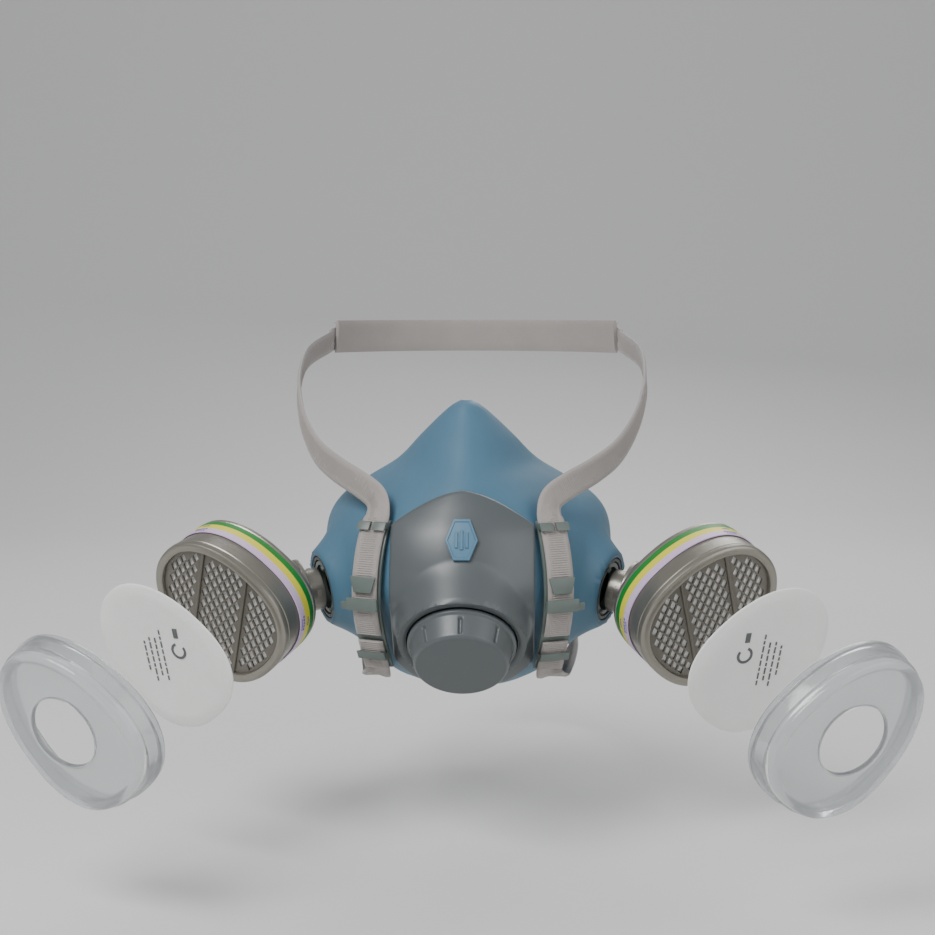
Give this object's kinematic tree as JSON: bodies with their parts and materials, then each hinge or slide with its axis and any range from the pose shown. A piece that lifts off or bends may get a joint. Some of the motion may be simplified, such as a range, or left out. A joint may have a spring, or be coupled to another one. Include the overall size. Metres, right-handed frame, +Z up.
{
  "type": "half-mask respirator",
  "caption": "Reusable elastomeric half mask set out in exploded form, with side cartridges, prefilter pads, clear pad covers, front exhalation valve and head harness.",
  "frame": {"origin": "middle of the face seal, level with the inhalation ports", "axes": "-Y the way the wearer looks, +Z up the wearer's face, +X to the right as seen from the front"},
  "size_m": [0.366, 0.3333, 0.1935],
  "materials": {
    "blue_silicone": "matte moulded silicone, muted blue",
    "grey_shell": "satin moulded plastic, mid grey",
    "dark_grey": "moulded plastic, dark grey",
    "seal_rubber": "black rubber ring",
    "clear_flap": "thin translucent silicone",
    "frame_grey": "moulded plastic, green grey",
    "webbing": "ribbed elastic webbing, warm light grey",
    "silver_shell": "satin silver-beige",
    "label": "printed label band in lilac, yellow and green stripes",
    "white_felt": "white nonwoven felt",
    "charcoal": "granular activated carbon, charcoal black",
    "clear_cover": "clear moulded plastic"
  },
  "bodies": {
    "root": {"facepiece": "blue_silicone", "front_shroud": "grey_shell", "size_badge": "blue_silicone", "valve_seat": "dark_grey", "port_connector_left": "dark_grey", "port_connector_right": "dark_grey", "strap_frame_left": "frame_grey", "strap_frame_right": "frame_grey", "strap_keeper_left": "frame_grey", "strap_keeper_right": "frame_grey", "upper_strap_left": "webbing", "upper_strap_right": "webbing", "neck_strap_left": "webbing", "neck_strap_right": "webbing", "head_cradle": "webbing", "clasp_loop": "frame_grey"},
    "clasp_hook": {"clasp_hook": "frame_grey"},
    "exhalation_flap": {"exhalation_flap": "clear_flap"},
    "valve_cover_seal": {"valve_cover_seal": "seal_rubber"},
    "valve_cover": {"valve_cover": "grey_shell"},
    "inhalation_flap_right": {"inhalation_flap_right": "clear_flap"},
    "lock_ring_right": {"lock_ring_right": "frame_grey"},
    "cartridge_right": {"cartridge_housing_right": "silver_shell", "grille_lid_right": "silver_shell", "media_felt_right": "white_felt", "sorbent_bed_right": "charcoal", "label_band_right": "label"},
    "filter_pad_right": {"filter_pad_right": "white_felt"},
    "pad_cover_right": {"pad_cover_right": "clear_cover"},
    "strap_adjuster_right": {"strap_adjuster_right": "frame_grey"},
    "inhalation_flap_left": {"inhalation_flap_left": "clear_flap"},
    "lock_ring_left": {"lock_ring_left": "frame_grey"},
    "cartridge_left": {"cartridge_housing_left": "silver_shell", "grille_lid_left": "silver_shell", "media_felt_left": "white_felt", "sorbent_bed_left": "charcoal", "label_band_left": "label"},
    "filter_pad_left": {"filter_pad_left": "white_felt"},
    "pad_cover_left": {"pad_cover_left": "clear_cover"},
    "strap_adjuster_left": {"strap_adjuster_left": "frame_grey"}
  },
  "joints": [
    {"name": "clasp_hook_swing", "type": "hinge", "parent": "root", "child": "clasp_hook", "pos_m": [0.0182, 0.1165, -0.04], "axis": [0, 0, -1], "range_deg": [0, 35]},
    {"name": "exhalation_flap_lift", "type": "slide", "parent": "root", "child": "exhalation_flap", "axis": [0, -0.7771, -0.6293], "range_m": [0, 0.0012], "stiffness_N_per_m": 20, "springref_m": -0.001},
    {"name": "valve_cover_pull", "type": "slide", "parent": "root", "child": "valve_cover_seal", "axis": [0, -0.7771, -0.6293], "range_m": [0, 0.018]},
    {"name": "valve_cover_twist", "type": "hinge", "parent": "valve_cover_seal", "child": "valve_cover", "pos_m": [0, -0.0718, -0.0135], "axis": [0, -0.7771, -0.6293], "range_deg": [0, 30]},
    {"name": "inhalation_flap_right_lift", "type": "slide", "parent": "root", "child": "inhalation_flap_right", "axis": [-0.8997, 0.4006, 0.1736], "range_m": [0, 0.0012], "stiffness_N_per_m": 20, "springref_m": -0.001},
    {"name": "cartridge_right_twist", "type": "hinge", "parent": "root", "child": "lock_ring_right", "pos_m": [0.0655, -0.0285, -0.002], "axis": [-0.8997, 0.4006, 0.1736], "range_deg": [0, 25]},
    {"name": "cartridge_right_insert", "type": "slide", "parent": "lock_ring_right", "child": "cartridge_right", "axis": [-0.8997, 0.4006, 0.1736], "range_m": [0, 0.0085]},
    {"name": "filter_pad_right_fit", "type": "slide", "parent": "cartridge_right", "child": "filter_pad_right", "axis": [-0.4052, 0.869, 0.284], "range_m": [0, 0.038]},
    {"name": "pad_cover_right_fit", "type": "slide", "parent": "filter_pad_right", "child": "pad_cover_right", "axis": [-0.4052, 0.869, 0.284], "range_m": [0, 0.062]},
    {"name": "strap_adjuster_right_tilt", "type": "hinge", "parent": "root", "child": "strap_adjuster_right", "pos_m": [0.0438, -0.07323, 0.001], "axis": [-0.9272, -0.3746, 0], "range_deg": [0, 25]},
    {"name": "inhalation_flap_left_lift", "type": "slide", "parent": "root", "child": "inhalation_flap_left", "axis": [0.8997, 0.4006, 0.1736], "range_m": [0, 0.0012], "stiffness_N_per_m": 20, "springref_m": -0.001},
    {"name": "cartridge_left_twist", "type": "hinge", "parent": "root", "child": "lock_ring_left", "pos_m": [-0.0655, -0.0285, -0.002], "axis": [-0.8997, -0.4006, -0.1736], "range_deg": [0, 25]},
    {"name": "cartridge_left_insert", "type": "slide", "parent": "lock_ring_left", "child": "cartridge_left", "axis": [0.8997, 0.4006, 0.1736], "range_m": [0, 0.0085]},
    {"name": "filter_pad_left_fit", "type": "slide", "parent": "cartridge_left", "child": "filter_pad_left", "axis": [0.4052, 0.869, 0.284], "range_m": [0, 0.038]},
    {"name": "pad_cover_left_fit", "type": "slide", "parent": "filter_pad_left", "child": "pad_cover_left", "axis": [0.4052, 0.869, 0.284], "range_m": [0, 0.062]},
    {"name": "strap_adjuster_left_tilt", "type": "hinge", "parent": "root", "child": "strap_adjuster_left", "pos_m": [-0.0438, -0.07323, 0.001], "axis": [-0.9272, 0.3746, 0], "range_deg": [0, 25]}
  ]
}
